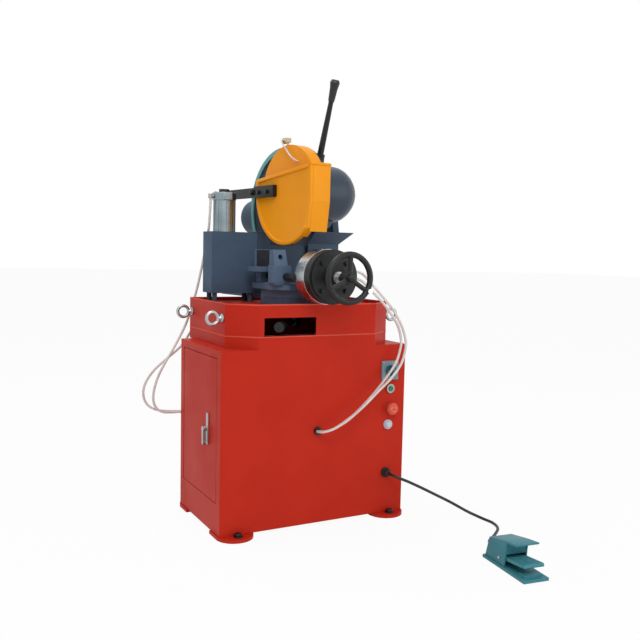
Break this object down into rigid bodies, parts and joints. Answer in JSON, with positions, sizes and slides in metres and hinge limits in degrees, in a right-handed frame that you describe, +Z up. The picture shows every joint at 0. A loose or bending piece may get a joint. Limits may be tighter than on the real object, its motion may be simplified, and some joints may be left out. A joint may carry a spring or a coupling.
{
  "type": "cold saw",
  "caption": "Pneumatic cold saw: toothed blade in a hood and guard on a swivelling head, vise with handwheel, tray, sheet cabinet and a foot pedal on a cable.",
  "frame": {"origin": "middle of the floor anchor pattern, on the floor under the head's turning axis", "axes": "+X to the operator's right, -Y to the front, +Z up"},
  "size_m": [0.926, 1.1942, 1.3502],
  "materials": {
    "red_paint": "semi-gloss red paint on sheet steel",
    "steel": "plain machined steel",
    "blade_steel": "ground tool steel",
    "polished_steel": "bright turned steel",
    "black_metal": "black enamel and blackened steel",
    "blue_grey_casting": "blue-grey paint on cast iron",
    "dark_casting": "dark blue-grey paint on a casting",
    "aluminium": "satin drawn aluminium tube",
    "dark_sheet": "dark grey-blue paint on sheet steel",
    "yellow_paint": "gloss warm yellow paint",
    "teal_paint": "teal hammered paint",
    "black_plastic": "black moulded plastic",
    "cream_plastic": "cream moulded plastic",
    "pale_hose": "translucent off-white hose",
    "black_rubber": "black rubber cable",
    "panel_plastic": "grey-blue switch plate",
    "green_plastic": "green button",
    "red_plastic": "red button",
    "lamp_glass": "frosted white lens"
  },
  "bodies": {
    "base": {"cabinet": "red_paint", "feet": "red_paint", "tray": "red_paint", "lifting_eyes": "steel", "vise_base": "blue_grey_casting", "fixed_jaw_plates": "steel", "vise_cylinder": "black_metal", "cylinder_band": "polished_steel", "cylinder_bolts": "black_metal", "guide_rods": "black_metal", "feed_tank": "aluminium", "filler_plug": "black_plastic", "tank_box": "dark_sheet", "hose_fittings": "steel", "switch_plate": "panel_plastic", "button_rings": "steel", "signal_lamp": "lamp_glass", "glands": "black_plastic", "feed_hose_long": "pale_hose", "feed_hose_short": "pale_hose", "vise_hose_inner": "pale_hose", "vise_hose_outer": "pale_hose", "pedal_base": "teal_paint", "pedal_cover": "teal_paint", "pedal_pin": "steel", "pedal_cable": "black_rubber"},
    "door": {"door": "red_paint"},
    "latch": {"door_latch": "steel"},
    "lock_lever": {"swivel_lock": "black_metal"},
    "jaw": {"moving_jaw": "blue_grey_casting", "jaw_plates": "steel"},
    "screw": {"vise_screw": "steel", "handwheel": "black_metal", "wheel_knob": "polished_steel"},
    "swivel": {"swivel_base": "blue_grey_casting", "hinge_pin": "steel", "guard_pin": "steel"},
    "head": {"gear_case": "blue_grey_casting", "motor": "blue_grey_casting", "back_plate": "dark_casting", "plate_rim_band": "teal_paint", "hood": "yellow_paint", "pull_handle": "black_metal", "handle_grip": "black_plastic", "coolant_tap": "cream_plastic", "coolant_tube": "pale_hose"},
    "blade": {"spindle": "steel", "blade": "blade_steel", "blade_flange": "steel"},
    "tap": {"tap_knob": "black_plastic"},
    "guard": {"guard": "yellow_paint", "guard_bar": "black_metal", "guard_bolts": "black_metal"},
    "switch": {"switch_knob": "black_plastic"},
    "start": {"start_button": "green_plastic"},
    "stop": {"stop_button": "red_plastic"},
    "pedal": {"pedal_plate": "teal_paint"}
  },
  "joints": [
    {"name": "door_swing", "type": "hinge", "parent": "base", "child": "door", "pos_m": [-0.304, 0.136, 0.311], "axis": [0, 0, -1], "range_deg": [0, 110]},
    {"name": "latch_turn", "type": "hinge", "parent": "door", "child": "latch", "pos_m": [-0.31, -0.076, 0.307], "axis": [-1, 0, 0], "range_deg": [0, 90]},
    {"name": "lock_turn", "type": "hinge", "parent": "base", "child": "lock_lever", "pos_m": [0, 0, 0.6095], "axis": [0, 0, 1], "range_deg": [0, 25]},
    {"name": "jaw_slide", "type": "slide", "parent": "base", "child": "jaw", "axis": [0, 1, 0], "range_m": [0, 0.04]},
    {"name": "handwheel_turn", "type": "hinge", "parent": "base", "child": "screw", "pos_m": [0, -0.345, 0.7568], "axis": [0, 1, 0], "range_deg": [0, 2880]},
    {"name": "head_turn", "type": "hinge", "parent": "base", "child": "swivel", "pos_m": [0, 0, 0.68], "axis": [0, 0, 1], "range_deg": [-53, 0]},
    {"name": "head_swing", "type": "hinge", "parent": "swivel", "child": "head", "pos_m": [-0.02449, 0.17429, 0.963], "axis": [0.9903, 0.1392, 0], "range_deg": [0, 30]},
    {"name": "blade_spin", "type": "hinge", "parent": "head", "child": "blade", "pos_m": [0, 0, 1.012], "axis": [0.9903, 0.1392, 0], "continuous": true},
    {"name": "tap_turn", "type": "hinge", "parent": "head", "child": "tap", "pos_m": [-0.01475, 0.03311, 1.17472], "axis": [-0.1392, 0.9903, 0], "range_deg": [0, 90]},
    {"name": "guard_lift", "type": "hinge", "parent": "swivel", "child": "guard", "pos_m": [-0.04509, 0.32085, 1.013], "axis": [-0.9903, -0.1392, 0], "range_deg": [0, 35]},
    {"name": "switch_turn", "type": "hinge", "parent": "base", "child": "switch", "pos_m": [0.252, -0.181, 0.464], "axis": [0, -1, 0], "range_deg": [-90, 0]},
    {"name": "start_press", "type": "slide", "parent": "base", "child": "start", "axis": [0, 1, 0], "range_m": [0, 0.003], "stiffness_N_per_m": 400},
    {"name": "stop_press", "type": "slide", "parent": "base", "child": "stop", "axis": [0, 1, 0], "range_m": [0, 0.004], "stiffness_N_per_m": 600},
    {"name": "pedal_press", "type": "hinge", "parent": "base", "child": "pedal", "pos_m": [0.33234, -0.66537, 0.026], "axis": [0.9914, -0.1305, 0], "range_deg": [0, 8], "stiffness_Nm_per_rad": 2}
  ],
  "couplings": [
    {"joint": "handwheel_turn", "follows": "jaw_slide", "rad_per_m": 1256.6}
  ]
}
